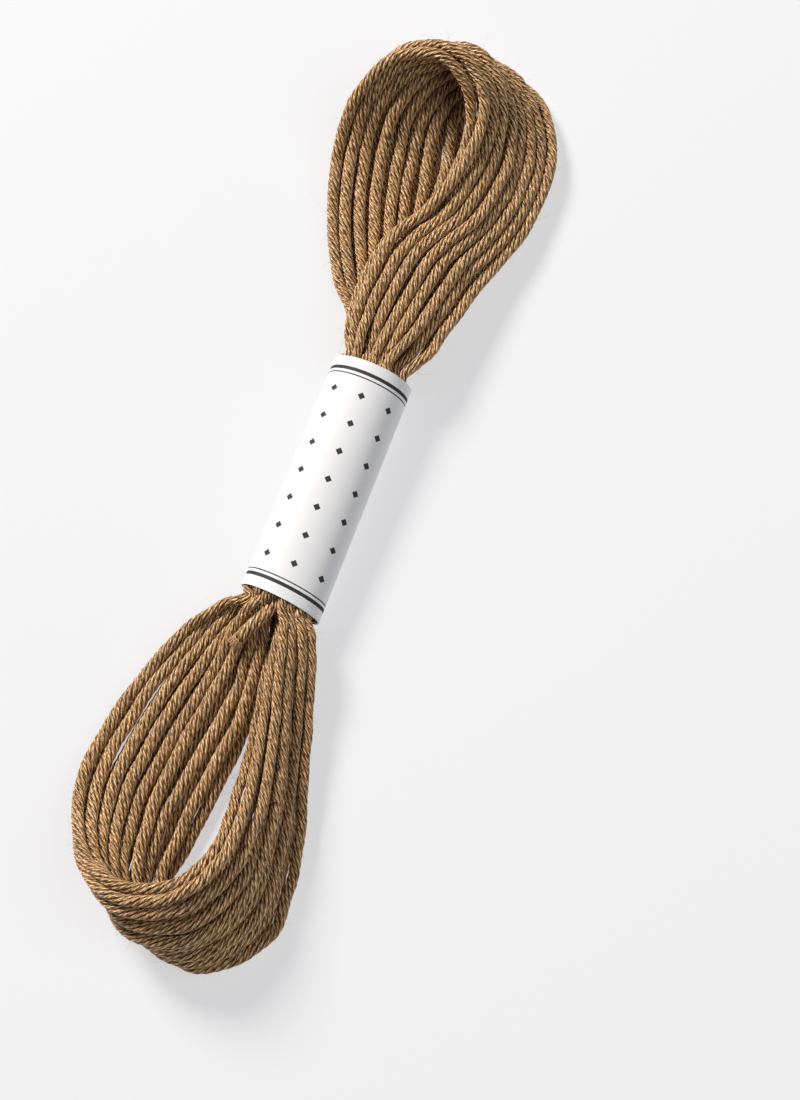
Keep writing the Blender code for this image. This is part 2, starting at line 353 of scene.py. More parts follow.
# name, column and layer of the turn, station where it strays most, stations that it takes on either side,
# shift across towards the last lane and shift outward (mm)
SLACK = [
    ("inner turn in the lower eye", 7, 1, 21.3, 2.2, 1.2, 0.4),
    ("low turn beside it", 7, -1, 21.3, 1.6, 0.8, 0.0),
    ("outer turns below the band", 0, ANY, 18.15, 0.9, 0.7, -0.3),
    ("second turns below the band", 1, ANY, 18.15, 0.9, 0.4, 0.0),
    ("inner turns, left leg", 7, ANY, 19.2, 1.6, 1.1, -0.2),
    ("next turns, left leg", 6, ANY, 19.2, 1.6, 0.5, 0.0),
    ("second turn, left leg", 1, 1, 19.8, 1.8, 0.5, 0.3),
    ("low turn under the right leg", 0, -1, 27.2, 1.6, 1.25, -1.0),
    ("second turn of the low rim", 0, 1, 24.8, 3.0, -0.9, 0.0),
    ("third turn of the low rim", 1, 1, 24.6, 3.0, -0.6, 0.0),
    ("fourth turn of the low rim", 2, 1, 24.6, 3.0, -0.3, 0.0),
    ("low turns of the low rim", ANY, -1, 24.6, 2.0, 0.5, 0.0),
    ("inner turn of the low rim", 0, -1, 24.6, 2.0, -0.5, 0.0),
    ("third turn, right flank", 6, 1, 26.3, 2.0, 0.6, 0.0),
    ("second turn, right flank", 7, -1, 25.7, 2.2, 1.6, 0.0),
    ("outer turn, right flank", 7, 1, 25.9, 1.6, 0.7, 0.0),
    ("outer turn, right leg", 7, 1, 26.8, 1.4, -0.9, 0.0),
    ("outer turns at the band", 7, ANY, 0.4, 0.9, 1.4, -0.3),
    ("next turns at the band", 6, ANY, 0.4, 0.9, 0.6, 0.0),
    ("inner turn in the upper eye", 0, 1, 3.2, 2.0, -1.7, -0.4),
    ("second turns, right of the eye", 1, ANY, 3.4, 1.8, -0.9, 0.0),
    ("third turns, right of the eye", 2, ANY, 3.4, 1.8, -0.5, 0.0),
    ("outer turns, right of the eye", 7, ANY, 3.2, 1.4, -0.5, 0.0),
    ("outer turns, upper right shoulder", 7, ANY, 5.7, 1.2, 0.7, 0.0),
    ("inner turns, upper eye", 7, ANY, 9.9, 1.7, 1.15, 0.0),
    ("low turns, left shoulder", ANY, -1, 8.9, 1.5, -0.6, 0.0),
    ("outer low turn, left shoulder", 0, -1, 8.9, 1.5, 0.6, 0.0),
    ("inner low turn, right shoulder", 0, -1, 4.9, 1.2, 0.25, 0.0),
    ("third turn, upper left", 5, 1, 11.6, 1.6, 0.5, 0.3),
]
print("turns:", len(TURNS), "places where some are slack:", len(SLACK))

# %% [markdown]
# ### Crookedness
#
# All the other lanes wander too, in long waves and a little. The two turns of a column mostly wander
# together, because the upper one lies on the lower. A much finer ripple makes the yarn itself look soft.
# The random numbers start from a fixed seed, so the skein comes out the same each time.

# %% Wandering lanes
WANDER = 0.25  # how far the two lanes of a column wander together, mm
WANDER_ALONE = 0.14
WANDER_OUT = 0.42  # how far a lane wanders outward
WAVES = range(1, 9)  # in one turn
RIPPLE = 0.07  # small crookedness of the yarn itself, mm
RIPPLE_WAVES = range(24, 60)
SEED = 7
random = np.random.default_rng(SEED)


def wander(count, waves, height):
    """A smooth closed curve of random numbers, in mm."""
    angle = np.linspace(0, 2 * math.pi, count, endpoint=False)
    curve = np.zeros(count)
    for wave in waves:
        curve += random.normal() * np.cos(wave * angle + random.uniform(0, 2 * math.pi))
    return height * curve / math.sqrt(len(waves))


TOGETHER = [wander(len(bow), WAVES, WANDER) for column in range(COLUMNS)]
print("a column wanders by up to", round(float(np.abs(TOGETHER).max()), 2), "mm")

# %% One lane
LAYER_LIFT = 0.86  # how far a layer's middle is from the ribbon's middle, mm
LAYERS_PART = 0.6  # share of the height of raised lanes by which the layers also move apart
BAND_BLEND = 3.0  # how far outside the band the strands still take its order, mm
PASS_MARGIN = 1.5  # stations beyond the ends of a pass at which the band may still take hold
NO_EDGE = 20  # room to the side, in mm, where the ribbon's edges don't hold a strand
FLOOR = 0.0


def around(place):
    """How many stations each step is away from a place along the loop."""
    half = len(STATIONS) / 2
    return np.abs((station - place + half) % len(STATIONS) - half)


def lane(column, layer):
    """One closed turn: rows of a point, the direction across, the room on either side, the lane's width."""
    width = np.linalg.norm(last_edge - first_edge, axis=1)
    across = (last_edge - first_edge) / width[:, None]
    lane_width = width / COLUMNS
    radius = radius_at(first_edge[:, 1], lane_width)
    pitch = (width - 2 * radius) / (COLUMNS - 1 + LANE_STAGGER)
    place = radius + pitch * (column + (LANE_STAGGER if layer > 0 else 0.0))
    squeeze = np.sqrt(np.clip((2 * radius) ** 2 - pitch**2, 0, None)) / 2  # half of what parts two neighbours
    raised = (1 if column % 2 else -1) * squeeze
    lift = layer * (LAYER_LIFT * radius / YARN_RADIUS + LAYERS_PART * squeeze)
    share = place / width
    arch = bow * (1 - (2 * share - 1) ** 2)
    for name, turn, side, centre, reach, shift, rise in SLACK:
        if turn in (column, ANY) and side in (layer, ANY):
            near = smooth(1 - around(centre) / reach)
            place = place + shift * near
            lift = lift + rise * near
    stray = TOGETHER[column] + wander(len(bow), WAVES, WANDER_ALONE) + wander(len(bow), RIPPLE_WAVES, RIPPLE)
    stray_out = wander(len(bow), WAVES, WANDER_OUT) + wander(len(bow), RIPPLE_WAVES, RIPPLE)
    line = first_edge + across * (place + stray)[:, None]
    line += outward * (arch + lift + raised + stray_out)[:, None]
    room_before, room_after = np.maximum(place - radius, 0), np.maximum(width - radius - place, 0)
    for over, (begin, end) in ((True, OVER_PASS), (False, UNDER_PASS)):
        low_place = place_at_edge(False, over, column, layer)
        high_place = place_at_edge(True, over, column, layer)
        y = line[:, 1]
        rise = np.clip((y - BAND_EDGES[0]) / (BAND_EDGES[1] - BAND_EDGES[0]), 0, 1)[:, None]
        bunched = low_place + (high_place - low_place) * rise
        in_pass = around((begin + end) / 2) < (end - begin) / 2 + PASS_MARGIN
        beyond = beyond_band(line)
        weight = np.where(in_pass, (1 - np.clip(beyond / BAND_BLEND, 0, 1)) ** 2, 0)
        line[:, [0, 2]] += weight[:, None] * (bunched - line[:, [0, 2]])
        free = np.where(in_pass & (beyond < 0), NO_EDGE, 0)  # inside the band only the paper holds it
        room_before = room_before + free
        room_after = room_after + free
    line[:, 2] = np.maximum(line[:, 2], FLOOR + radius)
    return np.column_stack([line, across, room_before, room_after, lane_width])


# %% The guide line of the whole thread
SPACING = 1.0  # between the points of the guide line, mm
LANE_CHANGE = 1.2  # stations over which the thread moves to its next lane


def thread_guide():
    """All the turns as one line that starts and ends in the middle of the under pass."""
    start = int((UNDER_PASS[0] + UNDER_PASS[1]) / 2 * RIBBON_STEPS)
    turns = [np.roll(lane(column, layer), -start, axis=0) for column, layer in TURNS]
    reach = int(LANE_CHANGE * RIBBON_STEPS)
    share = np.zeros(len(bow))
    share[-reach:] = smooth((np.arange(reach) + 0.5) / reach)
    line = [turn + share[:, None] * (after - turn) for turn, after in zip(turns, turns[1:])]
    return np.vstack([*line, turns[-1]])


def even(line, spacing):
    """The line again with points at an even spacing; numbers beyond the first three go along."""
    step = np.linalg.norm(np.diff(line[:, :3], axis=0), axis=1)
    run = np.concatenate([[0], np.cumsum(step)])
    want = np.linspace(0, run[-1], int(round(run[-1] / spacing)) + 1)
    return np.stack([np.interp(want, run, line[:, k]) for k in range(line.shape[1])], axis=1)


guide = even(thread_guide(), SPACING)
print("guide line:", len(guide), "points,", round(len(guide) * SPACING / 1000, 2), "m")

# %% [markdown]
# ## The loose end
#
# The cut end of the thread comes out from under the band's lower edge and lies on the turns. It is a cord
# of its own, on the route that its solid has: about 31 mm long, of which the last 9 mm show.

# %% Route of the loose end
END_RADIUS = 1.0
# from the middle of the band down to the cut, mm
END_ROUTE = [
    (2.2, 1.3, 4.7),
    (2.1, -5.7, 5.0),
    (1.9, -12.2, 5.2),
    (1.7, -17.7, 5.2),
    (1.4, -20.9, 5.3),
    (0.5, -23.5, 5.8),
    (-0.7, -26.1, 5.9),
    (-1.9, -28.7, 5.5),
]
END_STEPS = 3  # from one point of the route to the next
end_line = through(END_ROUTE, END_STEPS, closed=False)

# %% [markdown]
# ## Settling
#
# The lanes still run through each other where the ribbon bunches and bends. Real yarn can't, so the thread
# is settled: where two strands are nearer than their thickness they are pushed apart, the push is smoothed
# along the thread because yarn is stiff, and a weak pull leads it back to its lane. The table, the ribbon's
# edges and the inside of the band stop it. A few hundred rounds of that give strands that lie on and beside
# each other as wound ones do.

# %% Settle the thread
ROUNDS = 260
ROUNDS_BETWEEN_SEARCHES = 12
SEARCH_REACH = 3.2  # mm
SAME_STRAND = 6  # points along the thread that don't count as neighbours
CONTACT = 0.97  # share of the two radii at which strands meet, as yarn is soft
PUSH = 1.6  # share of the overlap that is taken away in a round
HOME_PULL = 0.012  # share of its way back to the lane that a point goes in the first round, and ever less
PAPER_HOLD = 0.2  # how far outside the band the paper still holds the strands in, mm
LEAST = 1e-6  # no distance is divided by less
DEEP = 0.1  # overlap that is worth counting at the end, mm


def near_pairs(points):
    """Pairs of points of different strands that are close enough to meet."""
    tree = KDTree(len(points))
    for i, point in enumerate(points):
        tree.insert(point, i)
    tree.balance()
    pairs = []
    for i, point in enumerate(points):
        pairs += [(i, j) for co, j, d in tree.find_range(point, SEARCH_REACH) if j > i + SAME_STRAND]
    return np.array(pairs)


def smoothed(values):
    """Each row averaged with its neighbours along the thread."""
    padded = np.vstack([values[:1], values, values[-1:]])
    return 0.25 * padded[:-2] + 0.5 * padded[1:-1] + 0.25 * padded[2:]


def keep_in_room(points, radius):
    """Points lifted off the table and, in the band, kept inside the paper."""
    inside = beyond_band(points) < PAPER_HOLD
    half_width, half_height, middle = band_oval(points[:, 1])
    x = (points[:, 0] - BAND_X) / (half_width - radius)
    z = (points[:, 2] - middle) / (half_height - radius)
    far = np.sqrt(x * x + z * z)
    shrink = np.where(inside & (far > 1), 1 / np.maximum(far, 1), 1)
    kept = points.copy()
    kept[:, 0] = BAND_X + (points[:, 0] - BAND_X) * shrink
    kept[:, 2] = np.maximum(middle + (points[:, 2] - middle) * shrink, FLOOR + radius)
    return kept


def settle(guide):
    """The thread after it has settled."""
    home, across = guide[:, :3], guide[:, 3:6]
    before, after, lane_width = guide[:, 6], guide[:, 7], guide[:, 8]
    across = across / np.linalg.norm(across, axis=1)[:, None]
    fixed = even(end_line, SPACING)
    count = len(home)
    points = home.copy()
    for step in range(ROUNDS):
        everything = np.vstack([points, fixed])
        radius = np.concatenate([radius_at(points[:, 1], lane_width), np.full(len(fixed), END_RADIUS)])
        if step % ROUNDS_BETWEEN_SEARCHES == 0:
            pairs = near_pairs(everything)
        i, j = pairs[:, 0], pairs[:, 1]
        between = everything[j] - everything[i]
        apart = np.linalg.norm(between, axis=1)
        overlap = CONTACT * (radius[i] + radius[j]) - apart
        meets = overlap > 0
        i, j = i[meets], j[meets]
        push = between[meets] * (overlap[meets] / 2 / np.maximum(apart[meets], LEAST))[:, None]
        hits = np.bincount(i, minlength=len(everything)) + np.bincount(j, minlength=len(everything))
        move = np.zeros_like(everything)
        for k in range(3):
            move[:, k] = np.bincount(j, push[:, k], len(everything))
            move[:, k] -= np.bincount(i, push[:, k], len(everything))
        move = move[:count] / np.maximum(hits[:count], 1)[:, None] * PUSH
        offset = smoothed(points + move - home) * (1 - HOME_PULL * (1 - step / ROUNDS))
        sideways = (offset * across).sum(axis=1)
        offset += across * (np.clip(sideways, -before, after) - sideways)[:, None]
        points = keep_in_room(home + offset, radius[:count])
    print("pairs still more than", DEEP, "mm in each other:", int((overlap > DEEP).sum()), "of", len(overlap))
    return points


settled = settle(guide)
thread = np.column_stack([settled, guide[:, 8]])  # each point with the width of its lane
moved = np.linalg.norm(settled - guide[:, :3], axis=1)
print("the strands moved by", round(float(moved.mean()), 2), "mm on average")

# %% [markdown]
# ## The yarn's section
#
# The yarn is several plies twisted together, and each ply is round, so the section is a ring of lobes with
# narrow grooves between them. Drawn flat with a few points to a lobe and swept along the thread with a
# steady turn, it gives real ridges that wind round the yarn, which a bump map could not show at the yarn's
# outline.

# %% Section of the yarn
PLIES = 7
POINTS_PER_PLY = 4
GROOVE = 0.22  # depth of the groove between plies, as a share of the radius
GROOVE_SHAPE = 2.2  # higher is a rounder ply with a sharper groove
TWIST_PITCH = 10.4  # one full turn of the plies, mm
WELD = 0.001  # points nearer to each other than this are one, mm


def section_object(name, radius):
    """A closed flat curve with one lobe for each ply."""
    curve = bpy.data.curves.new(name, "CURVE")
    curve.dimensions = "2D"
    spline = curve.splines.new("POLY")
    count = PLIES * POINTS_PER_PLY
    spline.points.add(count - 1)
    for i, point in enumerate(spline.points):
        off_crest = abs((i / POINTS_PER_PLY + 0.5) % 1 - 0.5) * 2
        r = radius * (1 - GROOVE * off_crest**GROOVE_SHAPE)
        angle = -2 * math.pi * i / count
        point.co = (r * math.cos(angle), r * math.sin(angle), 0, 1)
    spline.use_cyclic_u = True
    made = bpy.data.objects.new(name, curve)
    bpy.context.scene.collection.objects.link(made)
    return made


def sweep(name, line, radius, turn_at_start=0.0):
    """A plied yarn along a line, as a closed mesh.

    Its UV map goes from 0 to 1 round the yarn, and counts the mm along it.
    """
    profile = section_object("section", MM)
    curve = bpy.data.curves.new(name, "CURVE")
    curve.dimensions = "3D"
    curve.bevel_mode = "OBJECT"
    curve.bevel_object = profile
    curve.use_fill_caps = True
    spline = curve.splines.new("POLY")
    spline.points.add(len(line) - 1)
    spline.points.foreach_set("co", np.hstack([line * MM, np.ones((len(line), 1))]).ravel())
    run = np.concatenate([[0], np.cumsum(np.linalg.norm(np.diff(line, axis=0), axis=1))])
    turn = turn_at_start - 2 * math.pi * run / TWIST_PITCH
    spline.points.foreach_set("tilt", turn)
    spline.points.foreach_set("radius", np.broadcast_to(radius, len(line)).astype(float))
    swept = bpy.data.objects.new(name, curve)
    bpy.context.scene.collection.objects.link(swept)
    graph = bpy.context.evaluated_depsgraph_get()
    mesh = bpy.data.meshes.new_from_object(swept.evaluated_get(graph))
    bpy.data.objects.remove(swept)
    bpy.data.objects.remove(profile)
    uv = np.zeros(len(mesh.loops) * 2, np.float32)
    mesh.uv_layers[0].data.foreach_get("uv", uv)
    along_and_round = uv.reshape(-1, 2)  # a swept curve's map has its length first
    uv = np.column_stack([along_and_round[:, 1], along_and_round[:, 0] * run[-1]])
    mesh.uv_layers[0].data.foreach_set("uv", uv.ravel())
    bm = bmesh.new()
    bm.from_mesh(mesh)
    bmesh.ops.remove_doubles(bm, verts=bm.verts, dist=WELD * MM)
    if bm.calc_volume(signed=True) < 0:
        bmesh.ops.reverse_faces(bm, faces=bm.faces)
    bm.to_mesh(mesh)
    bm.free()
    mesh.shade_smooth()
    mesh.name = name
    made = bpy.data.objects.new(name, mesh)
    bpy.context.scene.collection.objects.link(made)
    return made, turn[-1]


print("section:", PLIES, "plies,", PLIES * POINTS_PER_PLY, "points")

# %% [markdown]
# ### The thread as geometry
#
# One sweep of five metres would be a very heavy piece, so the thread is cut into four pieces of four turns
# each. A piece starts in the middle of the band, and with the twist that the one before ended with, so no
# joint shows.

# %% Sweep the thread
SWEEP_STEP = 0.42  # between the sections, mm
THREAD_STEPS = 3  # of the smooth curve, from one point of the guide line to the next
PIECES = 4


def make_yarn():
    """The thread in a few pieces of whole turns."""
    fine = even(through(thread, THREAD_STEPS, closed=False), SWEEP_STEP)
    cuts = np.linspace(0, len(fine) - 1, PIECES + 1).astype(int)
    made = []
    turn = 0.0
    for k in range(PIECES):
        line = fine[cuts[k]:cuts[k + 1] + 1]
        name = f"yarn_turns_{k * len(TURNS) // PIECES + 1}_to_{(k + 1) * len(TURNS) // PIECES}"
        piece, turn = sweep(name, line[:, :3], radius_at(line[:, 1], line[:, 3]), turn)
        made.append(piece)
    return made


yarn = make_yarn()
print("yarn:", [(piece.name, len(piece.data.polygons)) for piece in yarn])

# %% Sweep the loose end
END_FINE_STEPS = 12
END_TURN = 1.0  # how far the plies are turned where the cord starts, in radians
fine_end = even(through(END_ROUTE, END_FINE_STEPS, closed=False), SWEEP_STEP)
loose_end, _ = sweep("loose_end_yarn", fine_end, END_RADIUS, END_TURN)
print("loose end:", len(loose_end.data.polygons), "faces")

# %% [markdown]
# ## Loose fibres
#
# Spun yarn is never clean: ends of fibres stand off it everywhere, most of them under a millimetre long and
# a few over two. A hair system isn't a mesh and gets lost in an exported model, so the fibres are drawn as
# one curve object, with a short bent line for each, whose bevel makes them thin four-sided rods.

# %% Bent hairs
FIBRE_POINTS = 5
FIBRE_TAPER = 0.6  # share of its thickness that a fibre loses towards its tip


def fibres(name, places, directions, lengths, radius, most_bend):
    """Short bent hairs as one mesh. They stay clear of the table."""
    curve = bpy.data.curves.new(name, "CURVE")
    curve.dimensions = "3D"
    curve.bevel_depth = radius * MM
    curve.bevel_resolution = 0
    for place, direction, length in zip(places, directions, lengths):
        spline = curve.splines.new("POLY")
        spline.points.add(FIBRE_POINTS - 1)
        bend = random.normal(size=3) * most_bend
        for k, point in enumerate(spline.points):
            share = k / (FIBRE_POINTS - 1)
            spot = place + length * share * (direction + bend * share)
            spot[2] = max(spot[2], 2 * radius)
            point.co = (*(spot * MM), 1.0)
            point.radius = 1 - FIBRE_TAPER * share
    drawn = bpy.data.objects.new(name, curve)
    bpy.context.scene.collection.objects.link(drawn)
    graph = bpy.context.evaluated_depsgraph_get()
    mesh = bpy.data.meshes.new_from_object(drawn.evaluated_get(graph))
    bpy.data.objects.remove(drawn)
    made = bpy.data.objects.new(name, mesh)
    bpy.context.scene.collection.objects.link(made)
    return made


def unit(rows):
    """Each row at a length of one."""
    return rows / np.linalg.norm(rows, axis=1)[:, None]


# %% Fibres that stand off the thread
FIBRES = 5600
FIBRE_RADIUS = 0.016  # mm
FIBRE_LENGTH = (0.4, 2.4)
SHORTNESS = 3  # power: higher has more short fibres and fewer long ones
FIBRE_LEAN = 1.3  # how much a fibre runs along its yarn against how much it stands off
FIBRE_BEND = 0.5
FIBRE_ROOT = 0.9  # where a fibre starts, as a share of the yarn's radius
FIBRE_SPACING = 0.5  # between the places where one may start, mm
CLEAR_OF_BAND = 1.0


def yarn_fibres():
    """Fibres all over the thread, but none inside the band."""
    fine = even(thread, FIBRE_SPACING)
    line, radius = fine[:, :3], radius_at(fine[:, 1], fine[:, 3])
    tangent = unit(np.gradient(line, axis=0))
    beyond = np.maximum(line[:, 1] - BAND_EDGES[1], BAND_EDGES[0] - line[:, 1])
    free = np.flatnonzero(beyond > CLEAR_OF_BAND)
    chosen = random.choice(free, FIBRES, replace=False)
    sideways = random.normal(size=(FIBRES, 3))
    along = tangent[chosen]
    sideways = unit(sideways - along * (sideways * along).sum(axis=1)[:, None])
    lean = random.normal(size=(FIBRES, 1)) * FIBRE_LEAN
    places = line[chosen] + sideways * radius[chosen][:, None] * FIBRE_ROOT
    lengths = FIBRE_LENGTH[0] + (FIBRE_LENGTH[1] - FIBRE_LENGTH[0]) * random.random(FIBRES) ** SHORTNESS
    return fibres("flyaway_fibres", places, unit(sideways + along * lean), lengths, FIBRE_RADIUS, FIBRE_BEND)


flyaway = yarn_fibres()
print("fibres:", FIBRES, "hairs,", len(flyaway.data.polygons), "faces")

# %% [markdown]
# ## The cut
#
# Scissors squash a soft yarn as they cut it, so its end is a blunt brush: the fibres let go of each other
# over the last millimetre or so. They are the same hairs, thicker because they stand for small bundles, and
# they start inside the cord's flat end and hide it.

# %% Cut fibres at the loose end's tip
CUT_FIBRES = 520
CUT_FIBRE_RADIUS = 0.06
CUT_LENGTH = (0.6, 1.4)
CUT_ROOT = 0.4  # how far inside the cord they start, mm
CUT_FILLS = 0.92  # share of the cord's radius that they fill
CUT_SPREAD = 0.1  # how much an outer fibre leans outward
CUT_DISORDER = 0.04
CUT_BEND = 0.12


def cut_fibres():
    """The blunt brush at the cut."""
    tip = end_line[-1]
    along = unit((end_line[-1] - end_line[-2])[None, :])[0]
    spread = random.normal(size=(CUT_FIBRES, 3))
    spread -= along * (spread @ along)[:, None]
    spot = unit(spread) * (END_RADIUS * CUT_FILLS * np.sqrt(random.random(CUT_FIBRES)))[:, None]
    places = tip - along * CUT_ROOT + spot
    lengths = CUT_LENGTH[0] + (CUT_LENGTH[1] - CUT_LENGTH[0]) * random.random(CUT_FIBRES) ** 2
    directions = along + spot * CUT_SPREAD + spread * CUT_DISORDER
    return fibres("cut_fibres", places, directions, lengths, CUT_FIBRE_RADIUS, CUT_BEND)


cut_brush = cut_fibres()
print("cut:", CUT_FIBRES, "hairs,", len(cut_brush.data.polygons), "faces")

# %% [markdown]
# ## The band
#
# The band is a strip of paper rolled into a sleeve round an oval that is wider and lower at one end.
# Circles are squeezed to that oval, joined in a row and given the paper's thickness with a Solidify
# modifier, which is applied so that the cut edges can be marked sharp. What is printed on it is placed on
# the strip laid flat, so the sleeve gets that as its UV map, in mm: across it from the line on top, and
# along it from the lower edge.

# %% Band
BAND_POINTS = 64
BAND_SECTIONS = 12
CUT_EDGE_ANGLE = math.radians(40)  # an edge that turns by more than this stays crisp


def make_band():
    """The paper sleeve. It widens, and its ends are askew as the photograph shows them."""
    bm = bmesh.new()
    rings = []
    flat = {}  # each point's place on the strip
    for s in range(BAND_SECTIONS + 1):
        share = s / BAND_SECTIONS
        y = BAND_EDGES[0] + share * (BAND_EDGES[1] - BAND_EDGES[0])
        half_width, half_height, middle = band_oval(y)
        skew = BAND_SKEW[0] + share * (BAND_SKEW[1] - BAND_SKEW[0])
        ring = bmesh.ops.create_circle(bm, segments=BAND_POINTS, radius=1.0)["verts"]
        for vert in ring:
            x, z = vert.co.x * half_width, vert.co.y * half_height
            vert.co = Vector((BAND_X + x, y + skew * x, max(middle + z, PAPER))) * MM
        ring.sort(key=lambda vert: math.atan2(vert.co.x / MM - BAND_X, vert.co.z / MM - middle))
        run = np.cumsum([0] + [(b.co - a.co).length / MM for a, b in zip(ring, ring[1:])])
        for vert, place in zip(ring, run - run[-1] / 2):
            flat[vert] = (place, y - BAND_EDGES[0])
        rings.append(ring)
    for here, ahead in zip(rings, rings[1:]):
        edges = [e for v in here for e in v.link_edges if e.other_vert(v) in here]
        edges += [e for v in ahead for e in v.link_edges if e.other_vert(v) in ahead]
        bmesh.ops.bridge_loops(bm, edges=list(set(edges)))
    bmesh.ops.recalc_face_normals(bm, faces=bm.faces)
    layer = bm.loops.layers.uv.new("UVMap")
    for face in bm.faces:
        for loop in face.loops:
            loop[layer].uv = flat[loop.vert]
    mesh = bpy.data.meshes.new("paper_sheet")
    bm.to_mesh(mesh)
    bm.free()
    mesh.shade_smooth()
    band = bpy.data.objects.new("paper_band", mesh)
    bpy.context.scene.collection.objects.link(band)
    wall = band.modifiers.new("paper", "SOLIDIFY")
    wall.thickness = PAPER * MM
    wall.offset = 1.0
    graph = bpy.context.evaluated_depsgraph_get()
    walled = bpy.data.meshes.new_from_object(band.evaluated_get(graph))
    walled.set_sharp_from_angle(angle=CUT_EDGE_ANGLE)
    walled.name = "paper_band"
    band.modifiers.clear()
    band.data = walled
    return band


band = make_band()
print("band:", len(band.data.polygons), "faces")

# %% [markdown]
# ## Yarn material
#
# The yarn is spun silk. Each ply on it is itself a twist of two finer strands, whose windings show as a row
# of small bright beads with dark clefts between them. Modelling those would cost millions of faces, so the
# material draws them, on the UV map that the sweep left: its first number runs round the yarn, so it tells
# on which ply and how far from the ply's crest a point is, and its second is the length along the thread in
# mm. The beads are a wave along each ply, thrown out of step by a noise as coarse as a bundle of fibres.
# One height is made from it all, and colour and bump both follow that height: the bump gives the relief, and
# the colour paints its light and shade, with a painted highlight on the high parts and painted shade in the
# clefts and in the grooves between plies.
#
# Silk is a clear fibre with a smooth skin. Its gloss is that of roughness 0.34 with an IOR of 1.55, and
# warm, because light comes back from it through dyed fibre.

# %% Sizes and colours of the yarn's surface
# the crest colour is a painted highlight on the high parts of plies and beads, the valley colour is painted
# shade in their clefts and grooves, and the body is the yarn's own colour
YARN_PAINTED_HIGHLIGHT = "#fad5a4"
YARN_BODY = "#b98956"
YARN_PAINTED_SHADE = "#442c17"
SHINE = "#ffe9cc"  # light that has been through the fibres' skin
SILK_ROUGHNESS = 0.34
SILK_IOR = 1.55
BEAD = 1.25  # one winding of the two strands in a ply, mm
BEAD_LEAN = 1.37  # how many beads one ply's are ahead of the next one's
BEAD_UNEVEN = 0.8  # how many beads' length a bead is out of step
CREST_HALF = 0.2  # how far a ply's crest is flat to either side, where the groove is at 0.5
BEAD_HEIGHT = (0.62, 0.4)  # a bead's middle height and how far it rises and falls, of the crest's height
GRAIN_ACROSS = 0.5  # a bundle of fibres as it shows on the surface, mm
GRAIN_ALONG = 1.1
GRAIN_HEIGHT = 1.1  # against the crest's height
FIBRE_ACROSS = 0.12  # a single fibre would be finer than a pixel, so it is drawn this coarse, mm
FIBRE_ALONG = 0.8
FIBRE_HEIGHT = 0.15
FIBRE_TONES = (0.86, 1.14)  # darkest and lightest fibre
DYE_ACROSS = 6.0  # patches where the dye took more or less, mm
DYE_ALONG = 25.0
DYE_TONES = (0.88, 1.12)
HIGHLIGHT_HEIGHTS = (1.0, 1.55)  # heights from the body's colour to the painted highlight's
SHADE_HEIGHTS = (0.45, 1.05)  # heights from the painted shade's colour to the body's
RELIEF = 0.16  # what a height of one is in the bump, mm
NOISE_RANGE = (0.3, 0.7)  # where nearly all of a noise's numbers lie
ROUND_THE_YARN = 2 * math.pi * YARN_RADIUS
print("beads in a metre of ply:", round(1000 / BEAD))
print("bundles of fibres round the yarn:", round(ROUND_THE_YARN / GRAIN_ACROSS))


# %% Spun silk


def stretched_noise(tree, uv, across, along, detail):
    """Noise drawn out along the yarn's plies, its cells this many mm wide and long."""
    mapped = add(tree, "ShaderNodeMapping", Vector=uv, Scale=(ROUND_THE_YARN / across, 1 / along, 1.0))
    noise = add(tree, "ShaderNodeTexNoise", {"noise_dimensions": "2D"}, Vector=mapped.outputs[0], Scale=1.0,
                Detail=detail, Roughness=0.6)
    return noise.outputs[0]


